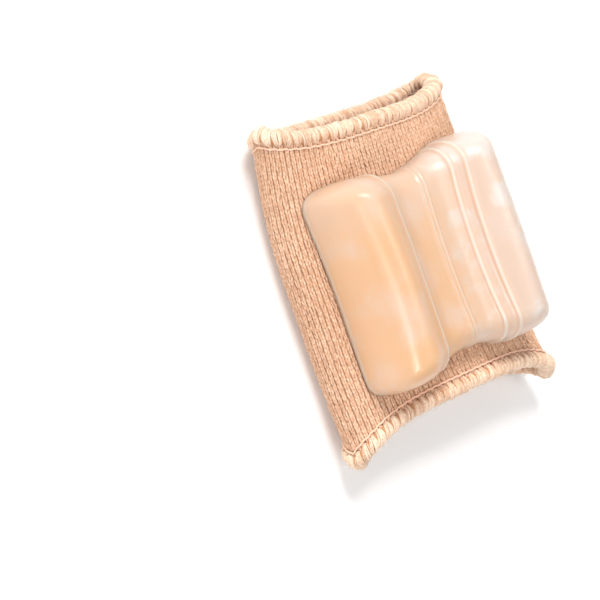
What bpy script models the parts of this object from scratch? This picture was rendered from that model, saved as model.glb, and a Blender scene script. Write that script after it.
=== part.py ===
# Toe separator: a ribbed knit sleeve for the big toe, with a moulded gel pad on its front wall.
# Metres, +Z up. It lies on the sleeve's back wall and the toe goes in along Y. The origin is
# under the middle of the sleeve, on the surface that it rests on.

import math
from collections import namedtuple

import bmesh
import bpy
from mathutils import Vector

# Gel pad
PAD_WIDTH = 0.0300            # across the sleeve
PAD_LENGTH = 0.0289           # along the sleeve, at the two lobes
WAIST_TOE = 0.0018            # how far the +Y end wall is set back between the lobes
WAIST_FOOT = 0.0018           # the same at the -Y end wall
SIDE_DIP = 0.0006             # how far the side walls are set in at half length
PAD_THICKNESS = 0.0046        # gel over the crown of the sleeve, under the groove
LOBE_RISE = 0.0042            # how much higher the lobes stand than the groove for the next toe
LOBE_BOW = 0.0009             # how far the lobes fall from half length to their ends
GROOVE_FLOOR = 0.0060         # width of the groove before its flanks rise
SIDE_ROUND = 0.0046           # rounding of the lobes towards the side folds
END_ROUND = 0.0034            # rounding towards the mouths
TOP_ROUND = 0.0062            # height that both roundings take
CORNER_POWER = 3.0            # how square the four corners stay in plan, where 2 is round

# Moulded ribs, which run along the sleeve over the pad's face and down its end walls
RIB_PLACES = (-0.41, 0.06, 0.39, 0.50)  # shares of half the pad's width
RIB_WIDTH = 0.0010
RIB_HEIGHT = 0.00035

# Knit that shows around the pad
SHOWING_SIDE = 0.0029         # from the pad to each side fold, at half length
SHOWING_TOE = 0.0045          # from the lobes to the hem, at the +Y mouth
SHOWING_FOOT = 0.0017         # the same at the -Y mouth
TOE_END_FLARE = -0.0048       # how much wider the sleeve is at the +Y mouth than at half length
FOOT_END_FLARE = 0.0018       # the same at the -Y mouth

# Knit wall, as it lies relaxed
KNIT_WALL = 0.0010
HEIGHT_MIDDLE = 0.0088        # back wall to the crown of the front wall, at half length
HEIGHT_END = 0.0085           # the same at both mouths
FOLD_MIDDLE = 0.0033          # radius of the side folds, which stay round in the springy knit
FOLD_END = 0.0033
FLAT_LENGTH = 0.0150          # the middle stretch of the back wall that lies flat
END_LIFT = 0.0010             # how far the hems curl clear of the surface
CURL_POWER = 1.5              # how the curl steepens towards the mouths

# Overlocked hem around each mouth. Its edge dips between the side folds.
HEM_WIDTH = 0.0024
HEM_THREAD = 0.00055          # thickness of the wrapped thread, inside, outside and at the nose
FRONT_DIP_TOE = 0.0027
FRONT_DIP_FOOT = 0.0043
BACK_DIP_TOE = 0.0014
BACK_DIP_FOOT = 0.0036
SLANT_TOE = 0.0014            # how much further the +Y mouth reaches at the -X fold than at the +X
SLANT_FOOT = 0.0008           # how much further the -Y mouth reaches at the +X fold than at the -X

CLEARANCE = 0.0003            # between pieces that touch on the real thing

# How finely the round forms are faceted
AROUND = 64
SLEEVE_ROWS = 16
NOSE_STEPS = 6
PAD_COLUMNS = 11
PAD_ROWS = 9
PAD_LAYERS = 2
ROUND_STEPS = 3
SHARP_ANGLE = math.radians(50)

# Limits of the working
SAME_POINT = 1e-7
SAME_CUT = 1e-5

KNIT_COLOUR = (0.86, 0.62, 0.45)
HEM_COLOUR = (0.91, 0.74, 0.57)
GEL_COLOUR = (0.95, 0.82, 0.74)

# What follows from those sizes
CREST = PAD_WIDTH / 2 - SIDE_ROUND
WIDTH_MIDDLE = PAD_WIDTH + 2 * SHOWING_SIDE
TOE_REACH = SHOWING_TOE + HEM_WIDTH + FRONT_DIP_TOE + SLANT_TOE / 2
FOOT_REACH = SHOWING_FOOT + HEM_WIDTH + FRONT_DIP_FOOT + SLANT_FOOT / 2
SLEEVE_LENGTH = FOOT_REACH + PAD_LENGTH + TOE_REACH
PAD_CENTRE = (FOOT_REACH - TOE_REACH) / 2
HEM_OUT = CLEARANCE + HEM_THREAD
END_CURL = HEM_OUT + END_LIFT

Section = namedtuple("Section", "half_width height fold slope lift")


def clear_scene():
    for thing in list(bpy.data.objects):
        bpy.data.objects.remove(thing, do_unlink=True)


def material(name, colour, roughness, alpha=1.0):
    made = bpy.data.materials.new(name)
    made.use_nodes = True
    shader = made.node_tree.nodes["Principled BSDF"]
    shader.inputs["Base Color"].default_value = (*colour, 1.0)
    shader.inputs["Roughness"].default_value = roughness
    shader.inputs["Metallic"].default_value = 0.0
    shader.inputs["Alpha"].default_value = alpha
    return made


def between(start, end, share):
    return start + (end - start) * share


def smooth_step(share):
    share = min(max(share, 0.0), 1.0)
    return share * share * (3 - 2 * share)


def section_at(y):
    """The sleeve's section at y: a flat back wall, two round folds and an arched front wall."""
    reach = abs(y) / (SLEEVE_LENGTH / 2)
    flare = TOE_END_FLARE if y > 0 else FOOT_END_FLARE
    half_width = (WIDTH_MIDDLE + flare * reach**2) / 2
    height = between(HEIGHT_MIDDLE, HEIGHT_END, reach**2)
    fold = between(FOLD_MIDDLE, FOLD_END, reach**2)
    curled = max(0.0, abs(y) - FLAT_LENGTH / 2) / ((SLEEVE_LENGTH - FLAT_LENGTH) / 2)
    # The angle at which the front wall's arc has to leave the side folds, to reach the height.
    slope = 2 * math.atan((height - 2 * fold) / (half_width - fold))
    return Section(half_width, height, fold, slope, END_CURL * curled**CURL_POWER)


def front_radius(section):
    return (section.half_width - section.fold) / math.sin(section.slope) + section.fold


def section_point(section, share):
    """A point and its outward direction in XZ, at a share of the way round the section. The way
    runs from the middle of the back wall over the +X fold, the front wall and the -X fold."""
    flat = section.half_width - section.fold
    bend = section.fold * (math.pi - section.slope)
    crown_radius = front_radius(section)
    whole = 2 * (flat + bend + section.slope * crown_radius)
    way = (share % 1.0) * whole
    side = 1.0
    if way > whole / 2:
        way = whole - way
        side = -1.0
    if way < flat:
        return side * way, 0.0, 0.0, -1.0
    if way < flat + bend:
        turn = (way - flat) / section.fold - math.pi / 2
        x = flat + section.fold * math.cos(turn)
        z = section.fold + section.fold * math.sin(turn)
    else:
        turn = math.pi / 2 - section.slope + (way - flat - bend) / crown_radius
        x = crown_radius * math.cos(turn)
        z = section.height - crown_radius + crown_radius * math.sin(turn)
    return side * x, z, side * math.cos(turn), math.sin(turn)


def sleeve_surface(share, y, out):
    """A point at a distance outside the knit's outer face."""
    section = section_at(y)
    x, z, across, up = section_point(section, share)
    return Vector((x + out * across, y, z + section.lift + out * up))


def front_wall_height(x, y):
    section = section_at(y)
    radius = front_radius(section)
    return section.lift + section.height - radius + math.sqrt(radius**2 - x**2)


def mouth_edge(share, end):
    """The y of a mouth's finished edge, at a share of the way round. It reaches furthest at the
    side folds, dips at the middle of the front and back walls, and slants a little."""
    facing = -math.cos(2 * math.pi * share)
    front, back = (FRONT_DIP_TOE, BACK_DIP_TOE) if end > 0 else (FRONT_DIP_FOOT, BACK_DIP_FOOT)
    dip = (front if facing > 0 else back) * (1 - (1 - abs(facing)) ** 2)
    slant = SLANT_TOE if end > 0 else SLANT_FOOT
    dip += slant * (1 + end * math.sin(2 * math.pi * share)) / 2
    return end * (SLEEVE_LENGTH / 2 - dip)


def ring_grid(columns, rows, place):
    """A torus-like skin: a grid placed by a function of its two shares, with its seams sewn."""
    mesh = bmesh.new()
    bmesh.ops.create_grid(mesh, x_segments=columns, y_segments=rows, size=0.5)
    for vertex in mesh.verts:
        vertex.co = place(vertex.co.x + 0.5, round((vertex.co.y + 0.5) * rows) % rows)
    bmesh.ops.remove_doubles(mesh, verts=mesh.verts, dist=SAME_POINT)
    bmesh.ops.recalc_face_normals(mesh, faces=mesh.faces)
    return mesh


def make_object(name, mesh, finish):
    data = bpy.data.meshes.new(name)
    mesh.to_mesh(data)
    mesh.free()
    data.shade_smooth()
    data.set_sharp_from_angle(angle=SHARP_ANGLE)
    data.materials.append(finish)
    made = bpy.data.objects.new(name, data)
    bpy.context.scene.collection.objects.link(made)


def build_sleeve(finish):
    """The knit tube: an outer and an inner skin, a wall apart, joined at the cut edges, which
    end inside the hems."""
    skins = 2 * SLEEVE_ROWS + 2

    def place(share, step):
        outside = step <= SLEEVE_ROWS
        row = (step if outside else skins - 1 - step) / SLEEVE_ROWS
        tucked = HEM_THREAD + CLEARANCE
        foot = mouth_edge(share, -1) + tucked
        toe = mouth_edge(share, 1) - tucked
        return sleeve_surface(share, between(foot, toe, row), 0.0 if outside else -KNIT_WALL)

    make_object("sleeve", ring_grid(AROUND, skins, place), finish)


def hem_profile():
    """The hem's section, as distances in from the finished edge and out from the knit's outer
    face: a plump bead of thread, with a groove that holds the edge of the knit."""
    outer = HEM_OUT
    inner = -KNIT_WALL - HEM_OUT
    middle = (outer + inner) / 2
    half = (outer - inner) / 2
    nose = HEM_WIDTH / 2
    points = []
    for step in range(NOSE_STEPS + 1):
        angle = math.pi * step / NOSE_STEPS
        points.append((nose * (1 - math.sin(angle)), middle + half * math.cos(angle)))
    shoulder = HEM_WIDTH - HEM_THREAD / 2
    points += [
        (shoulder, inner),
        (HEM_WIDTH, inner + HEM_THREAD / 2),
        (HEM_WIDTH, -KNIT_WALL - CLEARANCE),
        (HEM_THREAD, -KNIT_WALL - CLEARANCE),
        (HEM_THREAD, CLEARANCE),
        (HEM_WIDTH, CLEARANCE),
        (HEM_WIDTH, outer - HEM_THREAD / 2),
        (shoulder, outer),
    ]
    return points


def build_hem(name, end, finish):
    """One overlocked hem, which follows the edge of the mouth at the +Y or -Y end."""
    profile = hem_profile()

    def place(share, step):
        inward, out = profile[step]
        return sleeve_surface(share, mouth_edge(share, end) - end * inward, out)

    make_object(name, ring_grid(AROUND, len(profile), place), finish)


def pad_face_height(x, along):
    """Height of the pad's face before its edges are rounded, at a share of the half length."""
    lobe = smooth_step((abs(x) - GROOVE_FLOOR / 2) / (CREST - GROOVE_FLOOR / 2))
    groove = HEIGHT_MIDDLE + CLEARANCE + PAD_THICKNESS
    return groove + (LOBE_RISE - LOBE_BOW * along**2) * lobe


def round_shares():
    """The shares of the pad's half width, half length and thickness that are rounded."""
    return (
        SIDE_ROUND / (PAD_WIDTH / 2),
        END_ROUND / (PAD_LENGTH / 2),
        TOP_ROUND / (PAD_THICKNESS + LOBE_RISE),
    )


def rounded(place):
    """Moves a point of a box that is 2 wide, 2 long and 1 high onto the rounded box."""
    shares = round_shares()
    excess = [max(0.0, (abs(p) - 1) / share + 1) for p, share in zip(place, shares)]
    corner = (excess[0] ** CORNER_POWER + excess[1] ** CORNER_POWER) ** (1 / CORNER_POWER)
    length = math.hypot(corner, excess[2])
    shrink = max(excess) / length if length > 0 else 1.0
    return [
        math.copysign(min(abs(p), 1 - share) + share * over * shrink, p)
        for p, share, over in zip(place, shares, excess)
    ]


def pad_point(place):
    """Maps a point of the plain box to the pad, whose foot follows the sleeve's front wall."""
    across, along, up = rounded(place)
    x = across * (PAD_WIDTH / 2 - SIDE_DIP * (1 - along**2))
    waist = (WAIST_TOE if along > 0 else WAIST_FOOT) * (1 - smooth_step(abs(x) / CREST))
    y = PAD_CENTRE + along * (PAD_LENGTH / 2 - waist)
    foot = front_wall_height(x, y) + CLEARANCE
    return Vector((x, y, between(foot, pad_face_height(x, along), up)))


def even_cuts(low, high, count):
    return [between(low, high, step / count) for step in range(1, count)]


def round_cuts(share):
    """Cuts through the rounded share of a half side, an equal turn apart."""
    turn = math.pi / 4 / ROUND_STEPS
    return [1 - share + share * math.tan(step * turn) for step in range(ROUND_STEPS)]


def from_ribs(across):
    return min(abs(across - rib) for rib in RIB_PLACES)


def pad_cuts():
    """Where the plain box is cut in each direction: through the roundings, at the crest and the
    two feet of each rib, and evenly in between."""
    side, end, top = round_shares()
    rib_foot = RIB_WIDTH / PAD_WIDTH
    across = [rib + foot for rib in RIB_PLACES for foot in (-rib_foot, 0.0, rib_foot)]
    across += [
        cut
        for cut in even_cuts(side - 1, 1 - side, PAD_COLUMNS)
        if from_ribs(cut) > 2 * rib_foot
    ]
    across += [sign * cut for cut in round_cuts(side) for sign in (-1, 1)]
    along = even_cuts(end - 1, 1 - end, PAD_ROWS)
    along += [sign * cut for cut in round_cuts(end) for sign in (-1, 1)]
    up = even_cuts(0.0, 1 - top, PAD_LAYERS) + round_cuts(top)
    return across, along, up


def build_pad(finish):
    """The gel pad: a box cut into a grid and rounded, with two lobes, a waist and a groove
    between them. The ribs are raised along the cuts."""
    mesh = bmesh.new()
    bmesh.ops.create_cube(mesh, size=1.0)
    bmesh.ops.translate(mesh, verts=mesh.verts, vec=(0, 0, 0.5))
    bmesh.ops.scale(mesh, verts=mesh.verts, vec=(2, 2, 1))
    for axis, cuts in enumerate(pad_cuts()):
        normal = Vector((0, 0, 0))
        normal[axis] = 1
        for cut in cuts:
            parts = mesh.verts[:] + mesh.edges[:] + mesh.faces[:]
            bmesh.ops.bisect_plane(mesh, geom=parts, dist=SAME_CUT, plane_co=normal * cut, plane_no=normal)
    crests = [
        vertex
        for vertex in mesh.verts
        if vertex.co.z > SAME_CUT and from_ribs(vertex.co.x) < SAME_CUT
    ]
    for vertex in mesh.verts:
        vertex.co = pad_point(vertex.co)
    bmesh.ops.recalc_face_normals(mesh, faces=mesh.faces)
    mesh.normal_update()
    for vertex in crests:
        vertex.co += vertex.normal * RIB_HEIGHT
    make_object("gel_pad", mesh, finish)


def main():
    clear_scene()
    knit = material("ribbed_knit", KNIT_COLOUR, 0.9)
    thread = material("hem_thread", HEM_COLOUR, 0.85)
    gel = material("clear_gel", GEL_COLOUR, 0.25, alpha=0.7)
    build_sleeve(knit)
    build_hem("toe_end_hem", 1, thread)
    build_hem("foot_end_hem", -1, thread)
    build_pad(gel)


main()
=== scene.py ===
# Toe separator: a ribbed knit sleeve with overlocked hems and a moulded gel pad on its front wall.
# Metres, +Z up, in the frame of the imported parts.

import math

import bmesh
import bpy
import numpy as np
from mathutils import Matrix, Vector


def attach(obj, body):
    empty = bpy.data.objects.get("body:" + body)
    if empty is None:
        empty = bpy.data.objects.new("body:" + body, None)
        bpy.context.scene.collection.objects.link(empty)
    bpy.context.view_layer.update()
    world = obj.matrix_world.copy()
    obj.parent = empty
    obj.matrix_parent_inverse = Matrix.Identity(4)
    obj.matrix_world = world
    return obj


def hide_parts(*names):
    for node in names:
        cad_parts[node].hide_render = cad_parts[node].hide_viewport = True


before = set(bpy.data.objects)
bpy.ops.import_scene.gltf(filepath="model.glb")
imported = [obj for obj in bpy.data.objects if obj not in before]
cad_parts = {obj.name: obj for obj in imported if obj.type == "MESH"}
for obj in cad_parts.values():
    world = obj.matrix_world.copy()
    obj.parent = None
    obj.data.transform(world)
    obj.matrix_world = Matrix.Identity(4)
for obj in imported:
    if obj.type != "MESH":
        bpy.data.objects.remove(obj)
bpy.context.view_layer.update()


# Camera and studio
# A long lens looks down on the separator from its -X side, at about 50 degrees. A white sweep,
# a large softbox and two weaker ones give the pale, nearly shadowless light of a studio.

CAMERA_PLACE = (-0.2135, 0.0342, 0.2564)
CAMERA_RIGHT = (0.7258, -0.3255, 0.6061)
CAMERA_UP = (0.3188, 0.9398, 0.1229)
CAMERA_ROLL = -0.9           # degrees
FOCAL_LENGTH = 146.5         # mm, on 36 mm film
FLOOR_SIZE = 4.0
FLOOR_COLOUR = (0.95, 0.945, 0.945)

camera_data = bpy.data.cameras.new("camera")
camera_data.lens = FOCAL_LENGTH
camera_data.sensor_width = 36
camera_data.clip_start = 0.01
camera = bpy.data.objects.new("camera", camera_data)
bpy.context.scene.collection.objects.link(camera)
backwards = Vector(CAMERA_RIGHT).cross(Vector(CAMERA_UP)).normalized()
upwards = backwards.cross(Vector(CAMERA_RIGHT)).normalized()
turned = Matrix((upwards.cross(backwards), upwards, backwards)).transposed()
turned = turned @ Matrix.Rotation(math.radians(CAMERA_ROLL), 3, "Z")
camera.matrix_world = Matrix.Translation(CAMERA_PLACE) @ turned.to_4x4()
bpy.context.scene.camera = camera
bpy.context.scene.view_settings.view_transform = "Standard"


def plain_material(name, colour, roughness):
    made = bpy.data.materials.new(name)
    made.use_nodes = True
    shader = made.node_tree.nodes["Principled BSDF"]
    shader.inputs["Base Color"].default_value = (*colour, 1)
    shader.inputs["Roughness"].default_value = roughness
    return made


def new_object(name, mesh, finish):
    """Makes a smooth-shaded object of a bmesh."""
    data = bpy.data.meshes.new(name)
    mesh.to_mesh(data)
    mesh.free()
    data.shade_smooth()
    data.materials.append(finish)
    made = bpy.data.objects.new(name, data)
    bpy.context.scene.collection.objects.link(made)
    return made


sweep = bmesh.new()
bmesh.ops.create_grid(sweep, x_segments=1, y_segments=1, size=FLOOR_SIZE / 2)
floor = new_object("floor", sweep, plain_material("white_sweep", FLOOR_COLOUR, 0.9))


def softbox(name, place, size, power, colour, target=(0, 0, 0.008)):
    data = bpy.data.lights.new(name, "AREA")
    data.shape = "RECTANGLE"
    data.size, data.size_y = size
    data.energy = power
    data.color = colour
    lamp = bpy.data.objects.new(name, data)
    lamp.location = place
    lamp.rotation_euler = (Vector(target) - Vector(place)).to_track_quat("-Z", "Y").to_euler()
    bpy.context.scene.collection.objects.link(lamp)


softbox("softbox_above", (-0.08, 0.65, 0.68), (0.35, 0.35), 7.3, (1, 0.99, 0.975))
softbox("softbox_overhead", (0.10, -0.05, 0.95), (0.40, 0.30), 1.6, (1, 0.995, 0.99))
softbox("softbox_left", (-0.78, -0.26, 0.56), (0.20, 0.22), 3.4, (1, 0.99, 0.98))
world = bpy.data.worlds.new("studio")
world.use_nodes = True
world.node_tree.nodes["Background"].inputs["Color"].default_value = (1, 0.995, 0.995, 1)
world.node_tree.nodes["Background"].inputs["Strength"].default_value = 0.50
bpy.context.scene.world = world


# Knit sleeve
# A tube of ribbed elastic yarn, knitted in the round: two columns of stitches to a rib, with a
# groove between ribs. It is cut to length, and its two cut edges go into the hems.

WIDTH_MIDDLE = 0.0358
TOE_END_FLARE = -0.0048      # what the mouths add to that width
FOOT_END_FLARE = 0.0018
HEIGHT_MIDDLE = 0.0088
HEIGHT_END = 0.0085
FOLD = 0.0033
SLEEVE_LENGTH = 0.0480
KNIT_WALL = 0.0010
FLAT_LENGTH = 0.0150
END_CURL = 0.00185           # how far a mouth curls up from the floor
CURL_POWER = 1.5
FRONT_DIP_TOE = 0.0027
FRONT_DIP_FOOT = 0.0043
BACK_DIP_TOE = 0.0014
BACK_DIP_FOOT = 0.0036
SLANT_TOE = 0.0014
SLANT_FOOT = 0.0008
KNIT_TUCK = 0.00085          # from a mouth's finished edge to the cut edge of the knit
AROUND_SLEEVE = 0.0765       # the way round the sleeve, the mean of its two mouths
SAME_POINT = 1e-7

COLUMNS = 104                # of stitches, round the sleeve
ROWS = 76                    # of stitches, from one cut edge to the other
COLUMN_PITCH = 0.00076
ROW_PITCH = 0.00058
RIB_GROOVE = 0.00009         # half the depth that the knit sinks between ribs
PURL_RELIEF = 0.00006        # of the rows of stitches inside
STITCH_HEIGHT = 0.0003       # the height that counts as 1 in the yarn's material

# The last of the knit's colours is painted shade, for the hollows between and under the stitches.
KNIT_LIGHT = (0.86, 0.60, 0.43)
KNIT_MID = (0.64, 0.37, 0.235)
KNIT_HOLLOW_SHADE = (0.56, 0.31, 0.18)


def sleeve_section(y):
    """The outer face's section: half the flat back's width, the height, half the angle and the
    radius of the front wall's arc, and how far the section is curled up from the floor."""
    reach = np.abs(y) / (SLEEVE_LENGTH / 2)
    flare = np.where(y > 0, TOE_END_FLARE, FOOT_END_FLARE)
    flat = (WIDTH_MIDDLE + flare * reach**2) / 2 - FOLD
    height = HEIGHT_MIDDLE + (HEIGHT_END - HEIGHT_MIDDLE) * reach**2
    slope = 2 * np.arctan((height - 2 * FOLD) / flat)
    crown = flat / np.sin(slope) + FOLD
    curled = np.maximum(0, np.abs(y) - FLAT_LENGTH / 2) / ((SLEEVE_LENGTH - FLAT_LENGTH) / 2)
    return flat, height, slope, crown, END_CURL * curled**CURL_POWER


def knit_surface(share, y, out):
    """Points outside the knit's outer face, at a share of the way round the sleeve. The way runs
    from the middle of the back wall over the +X fold, the front wall and the -X fold."""
    flat, height, slope, crown, curl = sleeve_section(y)
    bend = FOLD * (np.pi - slope)
    whole = 2 * (flat + bend + slope * crown)
    share = share % 1
    side = np.where(share > 0.5, -1, 1)
    way = np.minimum(share, 1 - share) * whole
    on_back = way < flat
    on_fold = way < flat + bend
    fold_turn = (way - flat) / FOLD - np.pi / 2
    front_turn = np.pi / 2 - slope + (way - flat - bend) / crown
    turn = np.where(on_back, -np.pi / 2, np.where(on_fold, fold_turn, front_turn))
    bend_x = np.where(on_fold, flat + FOLD * np.cos(turn), crown * np.cos(turn))
    bend_z = np.where(on_fold, FOLD + FOLD * np.sin(turn), height - crown + crown * np.sin(turn))
    x = np.where(on_back, way, bend_x)
    z = np.where(on_back, 0, bend_z) + curl
    return np.column_stack((side * (x + out * np.cos(turn)), y, z + out * np.sin(turn)))


def mouth_edge(share, end):
    """The y of a mouth's finished edge. It reaches furthest at the side folds and dips between."""
    facing = -np.cos(2 * np.pi * share)
    front, back = (FRONT_DIP_TOE, BACK_DIP_TOE) if end > 0 else (FRONT_DIP_FOOT, BACK_DIP_FOOT)
    dip = np.where(facing > 0, front, back) * (1 - (1 - np.abs(facing)) ** 2)
    slant = SLANT_TOE if end > 0 else SLANT_FOOT
    dip = dip + slant * (1 + end * np.sin(2 * np.pi * share)) / 2
    return end * (SLEEVE_LENGTH / 2 - dip)


def rib_height(share, along):
    """How far the ribs stand out. They are deep at the foot end, and nearly level at the toe end,
    where the knit is drawn together."""
    deep = 1 - 0.75 * along
    return RIB_GROOVE * deep * (np.cos(2 * np.pi * share * COLUMNS / 2) - 1)


def points_of(data):
    places = np.empty(len(data.vertices) * 3)
    data.vertices.foreach_get("co", places)
    return places.reshape(-1, 3).T


def move_points(made, places):
    made.data.vertices.foreach_set("co", places.astype(np.float32).ravel())
    made.data.update()


def repeat(made, *rows):
    """Repeats a piece's mesh in rows, each given as its count and the step between two copies."""
    for count, step in rows:
        row = made.modifiers.new("repeat", "ARRAY")
        row.use_relative_offset = False
        row.use_constant_offset = True
        row.count = count
        row.constant_offset_displace = step
    repeated = bpy.data.meshes.new_from_object(
        made.evaluated_get(bpy.context.evaluated_depsgraph_get())
    )
    made.modifiers.clear()
    made.data = repeated


def sew_seams(made):
    """Merges the points that a rolled-up grid's edges share, and turns its faces outwards."""
    sewn = bmesh.new()
    sewn.from_mesh(made.data)
    bmesh.ops.remove_doubles(sewn, verts=sewn.verts, dist=SAME_POINT)
    bmesh.ops.recalc_face_normals(sewn, faces=sewn.faces)
    sewn.to_mesh(made.data)
    sewn.free()


def keep_value(made, name, values):
    """Stores a number for each point, which the piece's material reads."""
    layer = made.data.attributes.new(name, "FLOAT", "POINT")
    layer.data.foreach_set("value", values.astype(np.float32))


def wrap_round_sleeve(made, chance):
    """Lays a flat swatch of knit round the sleeve. Its x runs round and its y along the sleeve."""
    x, y, out = points_of(made.data)
    share = x / (COLUMNS * COLUMN_PITCH)
    along = y / (ROWS * ROW_PITCH)
    foot = mouth_edge(share, -1) + KNIT_TUCK
    toe = mouth_edge(share, 1) - KNIT_TUCK
    # The height gives painted shade: the stitches' diving ends darken.
    keep_value(made, "height", out / STITCH_HEIGHT)
    legs = len(x) // LEG_POINTS
    leg = np.arange(len(x)) // LEG_POINTS
    keep_value(made, "tint", chance.normal(0, LEG_TINT, legs)[leg])
    share = share + chance.normal(0, ROUND_DRIFT, legs)[leg]
    along = along + chance.normal(0, ALONG_DRIFT, legs)[leg]
    out = out + rib_height(share, along) + chance.normal(0, OUT_DRIFT, legs)[leg]
    move_points(made, knit_surface(share, foot + (toe - foot) * along, out))


def add_node(tree, kind, **settings):
    node = tree.nodes.new(kind)
    for name, value in settings.items():
        setattr(node, name, value)
    return node


def set_inputs(node, **values):
    for name, value in values.items():
        node.inputs[name].default_value = value
    return node


def noise_at(tree, scale, detail, place):
    noise = set_inputs(add_node(tree, "ShaderNodeTexNoise"), Scale=scale, Detail=detail)
    tree.links.new(place, noise.inputs["Vector"])
    return noise.outputs["Fac"]


def yarn_group():
    """Fluffy elastic yarn: mottled colour, painted shade in the hollows, and a fine fuzz in the
    bump.
    """
    group = bpy.data.node_groups.new("yarn_fuzz", "ShaderNodeTree")
    face = group.interface
    for name in ("Light", "Mid", "Deep"):
        face.new_socket(name, in_out="INPUT", socket_type="NodeSocketColor")
    face.new_socket("Height", in_out="INPUT", socket_type="NodeSocketFloat")
    face.new_socket("Tint", in_out="INPUT", socket_type="NodeSocketFloat")
    face.new_socket("Colour", in_out="OUTPUT", socket_type="NodeSocketColor")
    face.new_socket("Fuzz", in_out="OUTPUT", socket_type="NodeSocketFloat")
    into = add_node(group, "NodeGroupInput")
    out = add_node(group, "NodeGroupOutput")
    place = add_node(group, "ShaderNodeTexCoord").outputs["Object"]
    mottle = noise_at(group, 3200, 3, place)
    drift = noise_at(group, 90, 2, place)
    blend = add_node(group, "ShaderNodeMath", operation="MULTIPLY_ADD")
    group.links.new(mottle, blend.inputs[0])
    blend.inputs[1].default_value = 2.0
    group.links.new(drift, blend.inputs[2])
    tinted = add_node(group, "ShaderNodeMath", operation="ADD")
    group.links.new(blend.outputs[0], tinted.inputs[0])
    group.links.new(into.outputs["Tint"], tinted.inputs[1])
    spread = add_node(group, "ShaderNodeMapRange")
    set_inputs(spread, **{"From Min": 1.12, "From Max": 1.92})
    group.links.new(tinted.outputs[0], spread.inputs["Value"])
    yarn = add_node(group, "ShaderNodeMix", data_type="RGBA")
    group.links.new(spread.outputs["Result"], yarn.inputs["Factor"])
    group.links.new(into.outputs["Mid"], yarn.inputs["A"])
    group.links.new(into.outputs["Light"], yarn.inputs["B"])
    # Painted shade: where the height is low, in the hollows, the yarn takes the darker colour.
    sunk = set_inputs(add_node(group, "ShaderNodeMapRange"), **{"From Min": 0.0, "From Max": 0.6})
    group.links.new(into.outputs["Height"], sunk.inputs["Value"])
    shaded = add_node(group, "ShaderNodeMix", data_type="RGBA")
    group.links.new(sunk.outputs["Result"], shaded.inputs["Factor"])
    group.links.new(into.outputs["Deep"], shaded.inputs["A"])
    group.links.new(yarn.outputs["Result"], shaded.inputs["B"])
    group.links.new(shaded.outputs["Result"], out.inputs["Colour"])
    group.links.new(noise_at(group, 5000, 4, place), out.inputs["Fuzz"])
    return group


yarn_fuzz = yarn_group()


# Its deep colour is painted shade, which the material lays where the height attribute is low.
def yarn_material(name, light, mid, deep, fuzz):
    made = bpy.data.materials.new(name)
    made.use_nodes = True
    tree = made.node_tree
    shader = tree.nodes["Principled BSDF"]
    set_inputs(shader, **{
        "Roughness": 0.85, "Specular IOR Level": 0.2,
        "Sheen Weight": 0.35, "Sheen Roughness": 0.6, "Sheen Tint": (1, 0.9, 0.8, 1),
    })
    yarn = add_node(tree, "ShaderNodeGroup", node_tree=yarn_fuzz)
    set_inputs(yarn, Light=(*light, 1), Mid=(*mid, 1), Deep=(*deep, 1))
    height = add_node(tree, "ShaderNodeAttribute", attribute_name="height")
    tree.links.new(height.outputs["Fac"], yarn.inputs["Height"])
    tint = add_node(tree, "ShaderNodeAttribute", attribute_name="tint")
    tree.links.new(tint.outputs["Fac"], yarn.inputs["Tint"])
    tree.links.new(yarn.outputs["Colour"], shader.inputs["Base Color"])
    bump = set_inputs(add_node(tree, "ShaderNodeBump"), Strength=fuzz, Distance=0.0001)
    tree.links.new(yarn.outputs["Fuzz"], bump.inputs["Height"])
    tree.links.new(bump.outputs["Normal"], shader.inputs["Normal"])
    return made


knit_yarn = yarn_material("ribbed_knit", KNIT_LIGHT, KNIT_MID, KNIT_HOLLOW_SHADE, 0.5)


# The ground of the knit is one closed wall with both faces ribbed. The stitches lie on it.
GROUND_CELLS = 4             # round the sleeve, to a rib
GROUND_SINK = 0.00012        # from the knit's outer face to the ground between the stitches

ground_mesh = bmesh.new()
skin_rows = 2 * ROWS + 2
ground_cells = COLUMNS // 2 * GROUND_CELLS
bmesh.ops.create_grid(ground_mesh, x_segments=ground_cells, y_segments=skin_rows, size=0.5)
ground = new_object("knit_ground", ground_mesh, knit_yarn)
x, y, _ = points_of(ground.data)
step = np.rint((y + 0.5) * skin_rows) % skin_rows
outside = step <= ROWS
share = x + 0.5
along = np.where(outside, step, skin_rows - 1 - step) / ROWS
foot = mouth_edge(share, -1) + KNIT_TUCK
toe = mouth_edge(share, 1) - KNIT_TUCK
ribbing = rib_height(share, along)
purl = PURL_RELIEF * np.cos(np.pi * step)
out = np.where(outside, ribbing - GROUND_SINK, -ribbing + purl - KNIT_WALL)
# Painted shade: the ground between the stitches and the inside face darken, the inside's grooves
# most.
keep_value(ground, "height", np.where(outside, 0.05, 0.35 + ribbing / RIB_GROOVE * 0.25))
move_points(ground, knit_surface(share, foot + (toe - foot) * along, out))
sew_seams(ground)
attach(ground, "root")
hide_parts("sleeve")


# Stitches: each is two plump legs of yarn that lean together, one stitch's legs running under
# those of the next row.
LEG_THICKNESS = 0.00018
LEG_APART = 0.00009          # from the stitch's middle to the lower end of a leg
LEG_LEAN = 0.00013           # how much further out its upper end is
LEG_SINK = 0.0002            # how far its ends dive
LEG_TINT = 0.26              # spreads from leg to leg: of the shade, of the place as shares of the
ROUND_DRIFT = 0.00045        # way round and along the sleeve, and of the height in metres
ALONG_DRIFT = 0.0014
OUT_DRIFT = 0.00003
LEG_CELLS = 4
LEG_STEPS = 3
LEG_POINTS = (LEG_CELLS + 1) * (LEG_STEPS + 1)


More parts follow.
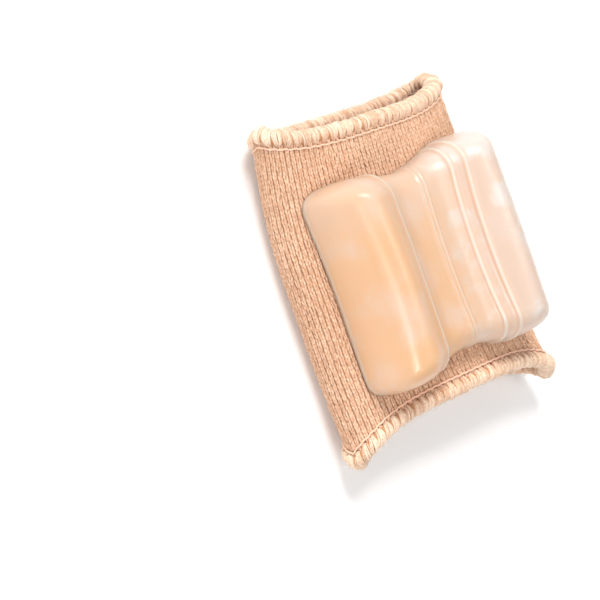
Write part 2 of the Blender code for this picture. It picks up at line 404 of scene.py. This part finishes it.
def stitch_leg(mesh, side):
    """One leg of a stitch, as an arched half tube whose two ends dive under its neighbours."""
    made = bmesh.ops.create_grid(mesh, x_segments=LEG_CELLS, y_segments=LEG_STEPS, size=0.5)
    for vertex in made["verts"]:
        angle = math.pi * (vertex.co.x + 0.5)
        run = vertex.co.y + 0.5
        arch = math.sin(math.pi * (0.12 + 0.80 * run))
        thick = LEG_THICKNESS * (0.6 + 0.4 * arch)
        centre = side * (LEG_APART + LEG_LEAN * run)
        vertex.co.x = centre - thick * math.cos(angle)
        vertex.co.y = ROW_PITCH * (1.7 * run - 0.3)
        vertex.co.z = -LEG_SINK + LEG_SINK * arch + thick * math.sin(angle)


def stitches(name, first_column, columns):
    mesh = bmesh.new()
    stitch_leg(mesh, -1)
    stitch_leg(mesh, 1)
    bmesh.ops.translate(mesh, verts=mesh.verts, vec=((first_column + 0.5) * COLUMN_PITCH, 0, 0))
    made = new_object(name, mesh, knit_yarn)
    repeat(made, (columns, (COLUMN_PITCH, 0, 0)), (ROWS, (0, ROW_PITCH, 0)))
    wrap_round_sleeve(made, np.random.default_rng(columns + abs(first_column)))
    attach(made, "root")
    return made


stitches("knit_stitches_back", -COLUMNS // 4, COLUMNS // 2)
stitches("knit_stitches_front", COLUMNS // 4, COLUMNS // 2)


# Overlocked hems
# Plump elastic thread wrapped round each cut edge, from the outer face over the edge to the
# inside. A fine line of chain stitch holds the wraps along their border on the outer face.

HEM_WIDTH = 0.0024
HEM_OUT = 0.00085            # from the knit's outer face to the outside of the wraps
WRAPS = {"toe_end_hem": 54, "foot_end_hem": 64}
YARNS_IN_WRAP = 5
YARN_CELLS = 4
YARN_STEPS = 14
WRAP_LEAN = 0.0003           # how far a wrap's yarns lean along the mouth
WRAP_START = -1.05           # where a yarn starts on the bead, as an angle
WRAP_TURN = math.pi + 1.8    # how far it goes round
WRAP_DRIFT = 0.05            # spread of the wraps' places, in wraps
WRAP_PLUMP = 0.10            # spread of their thickness, as a share
WRAP_CROWN = 0.00014         # how far a wrap's middle yarn stands over its outer ones
WRAP_SINK = 0.00036          # from the bead's outside to the edges of a yarn
YARN_HEIGHT = 0.00032        # from there to the top of a yarn
YARN_DRIFT = 0.03            # spread of a yarn's place, in wraps
YARN_CRIMP = 0.035           # how far it snakes, in wraps
YARN_TINT = 0.28             # spread of its shade
END_SINK = 0.00010           # how much deeper the wraps' two ends lie
CORE_STEPS = 18              # round the core's section
CORE_SINK = 0.00035          # from the bead's outside to the core
CHAIN_LINK = 0.00030         # thickness of a link of the chain stitch
CHAIN_GAP = 0.00008          # from the wraps to the line of chain stitch
CHAIN_SWAY = 0.00004
CHAIN_OUT = 0.00018          # from the knit's outer face
# The last of the hem's colours is painted shade, for the gaps between the wraps' yarns and under
# the chain's links.
HEM_LIGHT = (0.92, 0.73, 0.57)
HEM_MID = (0.72, 0.47, 0.32)
HEM_HOLLOW_SHADE = (0.52, 0.26, 0.12)
CHAIN_COLOUR = (0.93, 0.58, 0.42)

hem_yarn = yarn_material("overlock_thread", HEM_LIGHT, HEM_MID, HEM_HOLLOW_SHADE, 0.6)
chain_yarn = yarn_material("chain_thread", CHAIN_COLOUR, CHAIN_COLOUR, HEM_HOLLOW_SHADE, 0.4)
BEAD_ROUND = HEM_WIDTH / 2
BEAD_THICK = (KNIT_WALL + 2 * HEM_OUT) / 2


def bead_surface(share, end, angle, proud):
    """Points on the hem's bead. The angle runs from the border on the outer face over the mouth's
    edge to the border inside."""
    inward = BEAD_ROUND - (BEAD_ROUND + proud) * np.sin(angle)
    out = -KNIT_WALL / 2 + (BEAD_THICK + proud) * np.cos(angle)
    return knit_surface(share, mouth_edge(share, end) - end * inward, out)


def build_hem(name, end, seed):
    wraps = WRAPS[name]
    chance = np.random.default_rng(seed)
    core_mesh = bmesh.new()
    bmesh.ops.create_grid(core_mesh, x_segments=wraps * 2, y_segments=CORE_STEPS, size=0.5)
    core = new_object(name + "_core", core_mesh, hem_yarn)
    x, y, _ = points_of(core.data)
    angle = 2 * np.pi * (np.rint((y + 0.5) * CORE_STEPS) % CORE_STEPS) / CORE_STEPS
    # Painted shade: the core is kept dark where it shows between the wraps, darkest on the inside.
    keep_value(core, "height", 0.45 * np.clip(np.sin(angle) + 0.1, 0, 1))
    move_points(core, bead_surface(x + 0.5, end, angle, -CORE_SINK))
    sew_seams(core)

    wrap_mesh = bmesh.new()
    for number in range(YARNS_IN_WRAP):
        strand = bmesh.ops.create_grid(
            wrap_mesh, x_segments=YARN_CELLS, y_segments=YARN_STEPS, size=0.5
        )
        bmesh.ops.translate(wrap_mesh, verts=strand["verts"], vec=(number, 0, 0))
    wrap = new_object(name + "_wraps", wrap_mesh, hem_yarn)
    repeat(wrap, (wraps, (YARNS_IN_WRAP, 0, 0)))
    x, y, _ = points_of(wrap.data)
    yarns = wraps * YARNS_IN_WRAP
    yarn = np.repeat(np.arange(yarns), len(x) // yarns)
    turn = np.pi * (x - yarn + 0.5)
    run = y + 0.5
    in_wrap = yarn % YARNS_IN_WRAP - (YARNS_IN_WRAP - 1) / 2
    wrap_number = yarn // YARNS_IN_WRAP
    shift = chance.normal(0, WRAP_DRIFT, wraps)[wrap_number]
    shift = shift + chance.normal(0, YARN_DRIFT, yarns)[yarn]
    crimp = chance.uniform(0, 2 * np.pi, yarns)[yarn]
    shift = shift + YARN_CRIMP * np.sin(9 * run + crimp) * np.sin(np.pi * run)
    plump = 1 + chance.normal(0, WRAP_PLUMP, wraps)[wrap_number]
    girth = 1 / (2 * YARNS_IN_WRAP)
    narrow = 0.60 + 0.52 * np.sin(np.pi * run) ** 0.8
    beside = (in_wrap * 1.76 - 1.15 * np.cos(turn)) * girth * narrow
    around = (wrap_number + 0.5 + shift + beside) / wraps
    lean = WRAP_LEAN * (run - 0.5) / AROUND_SLEEVE
    crown = WRAP_CROWN * (1 - in_wrap**2 / 4) * plump
    proud = -WRAP_SINK + YARN_HEIGHT * np.sin(turn) * plump + crown
    proud = proud - END_SINK * (1 - np.sin(np.pi * run))
    proud = proud + 0.00003 * np.sin(7 * run + 2 * crimp)
    angle = WRAP_START + WRAP_TURN * run
    # Painted shade: each yarn darkens towards its sides, where it meets its neighbours.
    keep_value(wrap, "height", 0.9 * np.sin(turn) ** 0.7)
    keep_value(wrap, "tint", chance.normal(0, YARN_TINT, yarns)[yarn])
    move_points(wrap, bead_surface((around + lean) % 1, end, angle, proud))

    chain_mesh = bmesh.new()
    bmesh.ops.create_uvsphere(chain_mesh, u_segments=8, v_segments=6, radius=0.5)
    lying = Matrix.Rotation(math.pi / 2, 3, "Y")
    bmesh.ops.rotate(chain_mesh, verts=chain_mesh.verts, matrix=lying)
    chain = new_object(name + "_chain", chain_mesh, chain_yarn)
    links = wraps * 2
    repeat(chain, (links, (1, 0, 0)))
    x, y, z = points_of(chain.data)
    link = np.rint(x)
    share = (link + 0.5 + (x - link) * 1.5) / links
    sway = CHAIN_SWAY * np.cos(np.pi * link)
    inward = HEM_WIDTH + CHAIN_GAP + sway + y * CHAIN_LINK
    # Painted shade: each link darkens on its underside.
    keep_value(chain, "height", 0.6 + z)
    out = CHAIN_OUT + z * CHAIN_LINK
    move_points(chain, knit_surface(share, mouth_edge(share, end) - end * inward, out))
    for piece in (core, wrap, chain):
        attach(piece, "root")
    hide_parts(name)


build_hem("toe_end_hem", 1, 11)
build_hem("foot_end_hem", -1, 23)


# Gel pad
# Soft translucent gel, moulded in one pour on the front wall: two pillowy lobes with a groove
# between them for the next toe, and raised ribs along the face and down the end walls.

PAD_WIDTH = 0.0300
PAD_LENGTH = 0.0289
WAIST_TOE = 0.0018           # how far the two end walls are set back between the lobes
WAIST_FOOT = 0.0018
SIDE_DIP = 0.0006            # how far the side walls are set in at half length
PAD_THICKNESS = 0.0046       # under the groove
LOBE_RISE = 0.0042
LOBE_BOW = 0.0009            # how far the lobes fall from half length to their ends
GROOVE_FLOOR = 0.0060
SIDE_ROUND = 0.0046
END_ROUND = 0.0034
TOP_ROUND = 0.0062
CORNER_POWER = 3.0
CREST = PAD_WIDTH / 2 - SIDE_ROUND
PAD_CENTRE = -0.00075
CLEARANCE = 0.0003
RIB_BOW = 0.0007             # how far the ribs bend towards the -X side at half length
RIB_FULL = 0.0003            # the height that counts as 1 in the gel's material
# Each rib: its place as a share of half the pad's width, its half width and its height.
RIBS = (
    (-0.41, 0.00034, 0.00034),
    (0.045, 0.00022, 0.00026),
    (0.093, 0.00022, 0.00026),
    (0.40, 0.00030, 0.00034),
    (0.515, 0.00030, 0.00032),
)
GEL_WARM = (0.95, 0.59, 0.34)
GEL_PALE = (0.90, 0.72, 0.60)
GEL_MILKY = (0.91, 0.77, 0.69)
# The next colour is painted shade beside the ribs. The one after is a painted highlight on the
# ribs' crests and a painted glow along the pad's foot.
GEL_PAINTED_SHADE = (0.82, 0.50, 0.32)
GEL_PAINTED_HIGHLIGHT = (0.95, 0.84, 0.73)
# Whitish patches: the gel's milky frost, with a painted highlight of broad soft reflections laid
# in.
GEL_FROST_AND_HIGHLIGHT = (0.93, 0.84, 0.78)
PAD_CELLS = 150
PAD_ROWS = 96
PAD_LAYERS = 26


def smooth_step(share):
    share = np.clip(share, 0, 1)
    return share * share * (3 - 2 * share)


def shape_pad(made):
    """Rounds a finely cut box into the pad, whose foot follows the sleeve's front wall."""
    places = points_of(made.data)
    shares = np.array((SIDE_ROUND / (PAD_WIDTH / 2), END_ROUND / (PAD_LENGTH / 2),
                       TOP_ROUND / (PAD_THICKNESS + LOBE_RISE)))[:, None]
    excess = np.maximum(0, (np.abs(places) - 1) / shares + 1)
    corner = (excess[0] ** CORNER_POWER + excess[1] ** CORNER_POWER) ** (1 / CORNER_POWER)
    length = np.hypot(corner, excess[2])
    shrink = np.where(length > 0, excess.max(axis=0) / np.maximum(length, 1e-9), 1)
    across, along, up = np.copysign(
        np.minimum(np.abs(places), 1 - shares) + shares * excess * shrink, places
    )
    x = across * (PAD_WIDTH / 2 - SIDE_DIP * (1 - along**2))
    waist = np.where(along > 0, WAIST_TOE, WAIST_FOOT) * (1 - smooth_step(np.abs(x) / CREST))
    y = PAD_CENTRE + along * (PAD_LENGTH / 2 - waist)
    _, height, _, crown, curl = sleeve_section(y)
    foot = height - crown + np.sqrt(crown**2 - x**2) + curl + CLEARANCE
    lobe = smooth_step((np.abs(x) - GROOVE_FLOOR / 2) / (CREST - GROOVE_FLOOR / 2))
    swell = (LOBE_RISE - LOBE_BOW * along**2) * lobe
    face = HEIGHT_MIDDLE + CLEARANCE + PAD_THICKNESS + swell
    # From this value the gel's material paints a glowing light rim along the pad's foot.
    keep_value(made, "above_foot", (face - foot) * up * 1000)
    smooth = np.column_stack((x, y, foot + (face - foot) * up))
    move_points(made, smooth)
    normals = np.empty(len(x) * 3)
    made.data.vertices.foreach_get("normal", normals)
    normals = normals.reshape(-1, 3)
    raised = np.zeros(len(x))
    for place, half_width, rise in RIBS:
        off = (across - place) * PAD_WIDTH / 2 + RIB_BOW * (1 - along**2)
        raised = raised + rise * np.exp(-((off / half_width) ** 2))
    raised = raised * smooth_step(up / 0.15)
    # From this value the gel's material paints shade on the ribs' flanks and a highlight on their
    # crests.
    keep_value(made, "rib", raised / RIB_FULL)
    move_points(made, smooth + raised[:, None] * normals)


def mix_colour(tree, factor, first, second):
    mix = add_node(tree, "ShaderNodeMix", data_type="RGBA")
    for value, name in ((factor, "Factor"), (first, "A"), (second, "B")):
        if isinstance(value, (tuple, float)):
            mix.inputs[name].default_value = (*value, 1) if isinstance(value, tuple) else value
        else:
            tree.links.new(value, mix.inputs[name])
    return mix.outputs["Result"]


def ranged(tree, value, low, high, to_low=0.0, to_high=1.0):
    step = add_node(tree, "ShaderNodeMapRange", interpolation_type="SMOOTHSTEP")
    set_inputs(step, **{"From Min": low, "From Max": high, "To Min": to_low, "To Max": to_high})
    tree.links.new(value, step.inputs["Value"])
    return step.outputs["Result"]


def gel_material():
    made = bpy.data.materials.new("clear_gel")
    made.use_nodes = True
    tree = made.node_tree
    shader = tree.nodes["Principled BSDF"]
    set_inputs(shader, **{
        "IOR": 1.41, "Transmission Weight": 0.36, "Coat Weight": 0.3, "Coat Roughness": 0.24,
        "Subsurface Weight": 0.6, "Subsurface Radius": (1.0, 0.75, 0.6), "Subsurface Scale": 0.002,
    })
    place = add_node(tree, "ShaderNodeTexCoord").outputs["Object"]
    parts = add_node(tree, "ShaderNodeSeparateXYZ")
    tree.links.new(place, parts.inputs[0])
    thin = ranged(tree, parts.outputs["X"], -0.005, 0.011)
    cloud = noise_at(tree, 150, 3, place)
    drift = noise_at(tree, 55, 2, place)
    body = mix_colour(tree, thin, GEL_WARM, GEL_PALE)
    for value, low, high, most, colour in (
        (parts.outputs["Y"], 0.002, 0.014, 0.5, GEL_PALE),
        (parts.outputs["X"], 0.005, 0.015, 0.4, GEL_MILKY),
        (drift, 0.42, 0.70, 0.55, GEL_PALE),
        (cloud, 0.50, 0.72, 0.45, GEL_MILKY),
    ):
        body = mix_colour(tree, ranged(tree, value, low, high, 0.0, most), body, colour)
    # Whitish patches on the thinner side: the gel's frost, together with a painted highlight of
    # broad soft reflections.
    frost_and_highlight = add_node(tree, "ShaderNodeMath", operation="MULTIPLY")
    tree.links.new(ranged(tree, noise_at(tree, 210, 4, place), 0.48, 0.62), frost_and_highlight.inputs[0])
    tree.links.new(thin, frost_and_highlight.inputs[1])
    body = mix_colour(tree, frost_and_highlight.outputs[0], body, GEL_FROST_AND_HIGHLIGHT)
    # Painted shade on the ribs' flanks and a painted highlight on their crests.
    rib = add_node(tree, "ShaderNodeAttribute", attribute_name="rib").outputs["Fac"]
    body = mix_colour(tree, ranged(tree, rib, 0.02, 0.35, 0.0, 0.30), body, GEL_PAINTED_SHADE)
    body = mix_colour(tree, ranged(tree, rib, 0.45, 0.95, 0.0, 0.85), body, GEL_PAINTED_HIGHLIGHT)
    # Painted glow: a light rim along the pad's foot, standing in for light refracted at its lower
    # edge.
    above = add_node(tree, "ShaderNodeAttribute", attribute_name="above_foot").outputs["Fac"]
    body = mix_colour(tree, ranged(tree, above, 0.2, 1.0, 0.8, 0.0), body, GEL_PAINTED_HIGHLIGHT)
    tree.links.new(body, shader.inputs["Base Color"])
    tree.links.new(ranged(tree, cloud, 0.35, 0.7, 0.29, 0.44), shader.inputs["Roughness"])
    bump = set_inputs(add_node(tree, "ShaderNodeBump"), Strength=0.16, Distance=0.0002)
    tree.links.new(noise_at(tree, 2500, 3, place), bump.inputs["Height"])
    tree.links.new(bump.outputs["Normal"], shader.inputs["Normal"])
    return made


def even_cuts(low, high, count):
    return [low + (high - low) * step / count for step in range(1, count)]


box = bmesh.new()
bmesh.ops.create_cube(box, size=1)
bmesh.ops.translate(box, verts=box.verts, vec=(0, 0, 0.5))
bmesh.ops.scale(box, verts=box.verts, vec=(2, 2, 1))
pad_cuts = (even_cuts(-1, 1, PAD_CELLS), even_cuts(-1, 1, PAD_ROWS), even_cuts(0, 1, PAD_LAYERS))
for axis, cuts in enumerate(pad_cuts):
    along_axis = Vector((0, 0, 0))
    along_axis[axis] = 1
    for cut in cuts:
        bmesh.ops.bisect_plane(
            box, geom=box.verts[:] + box.edges[:] + box.faces[:], dist=1e-5,
            plane_co=along_axis * cut, plane_no=along_axis,
        )
bmesh.ops.recalc_face_normals(box, faces=box.faces)
pad = new_object("moulded_gel_pad", box, gel_material())
shape_pad(pad)
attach(pad, "root")
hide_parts("gel_pad")


# Loose fibres
# The elastic yarn sheds a fine down, which stands off the hems and off the bare knit. Each is a
# hair-thin tapering tube that rises from the yarn and curls over.

FIBRE_THICK = 0.000020
FIBRE_CELLS = 3
FIBRE_STEPS = 4
HEM_FIBRES = 1100
KNIT_FIBRES = 1800
HEM_SWING = 0.0006           # spread of how far a fibre sways, in metres at its tip
KNIT_SWING = 0.0005
BARE_MARGIN = 0.001          # kept clear of fibres, round the pad and above the floor


def loose_fibres(name, count, finish):
    """Makes the fibres of one piece, and gives each point's fibre, its run from 0 at the root to 1
    at the tip, and its place on the thin tube round the fibre's path."""
    mesh = bmesh.new()
    bmesh.ops.create_grid(mesh, x_segments=FIBRE_CELLS, y_segments=FIBRE_STEPS, size=0.5)
    made = new_object(name, mesh, finish)
    repeat(made, (count, (1, 0, 0)))
    x, y, _ = points_of(made.data)
    fibre = np.repeat(np.arange(count), len(x) // count)
    turn = 2 * np.pi * (x - fibre + 0.5)
    run = y + 0.5
    thick = FIBRE_THICK * (1.3 - run)
    keep_value(made, "height", np.ones(len(x)))
    keep_value(made, "tint", np.full(len(x), 0.4))
    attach(made, "root")
    return made, fibre, run, thick * np.cos(turn), thick * np.sin(turn)


for number, (name, end) in enumerate((("toe_end_hem", 1), ("foot_end_hem", -1))):
    chance = np.random.default_rng(71 + number)
    down, fibre, run, beside, above = loose_fibres(
        name + "_down", HEM_FIBRES, hem_yarn
    )
    swing = chance.normal(0, HEM_SWING, HEM_FIBRES)[fibre] * run**1.4 + beside
    share = chance.uniform(0, 1, HEM_FIBRES)[fibre] + swing / AROUND_SLEEVE
    angle = chance.uniform(-1.0, 2.4, HEM_FIBRES)[fibre]
    angle = angle + chance.normal(0, 0.3, HEM_FIBRES)[fibre] * run
    reach = chance.uniform(0.0002, 0.0008, HEM_FIBRES)[fibre]
    proud = -0.0001 + reach * run * (1.5 - 0.6 * run) + above
    move_points(down, bead_surface(share % 1, end, angle, proud))

chance = np.random.default_rng(97)
tries = 6 * KNIT_FIBRES
share = chance.uniform(0, 1, tries)
foot = mouth_edge(share, -1) + HEM_WIDTH
toe = mouth_edge(share, 1) - HEM_WIDTH
rooted = foot + (toe - foot) * chance.uniform(0.02, 0.98, tries)
places = knit_surface(share, rooted, 0.0)
on_pad = (np.abs(places[:, 0]) < PAD_WIDTH / 2 + BARE_MARGIN) & (places[:, 2] > HEIGHT_MIDDLE / 2)
on_pad = on_pad & (np.abs(rooted - PAD_CENTRE) < PAD_LENGTH / 2 + BARE_MARGIN)
bare = np.flatnonzero(~on_pad & (places[:, 2] > BARE_MARGIN))[:KNIT_FIBRES]
down, fibre, run, beside, above = loose_fibres("knit_down", len(bare), knit_yarn)
swing = chance.normal(0, KNIT_SWING, len(bare))[fibre] * run**1.4 + beside
bend = chance.normal(0, KNIT_SWING, len(bare))[fibre] * run**1.2
reach = chance.uniform(0.0001, 0.0004, len(bare))[fibre]
move_points(down, knit_surface(
    share[bare][fibre] + swing / AROUND_SLEEVE,
    rooted[bare][fibre] + bend,
    reach * run * (1.5 - 0.7 * run) + above,
))
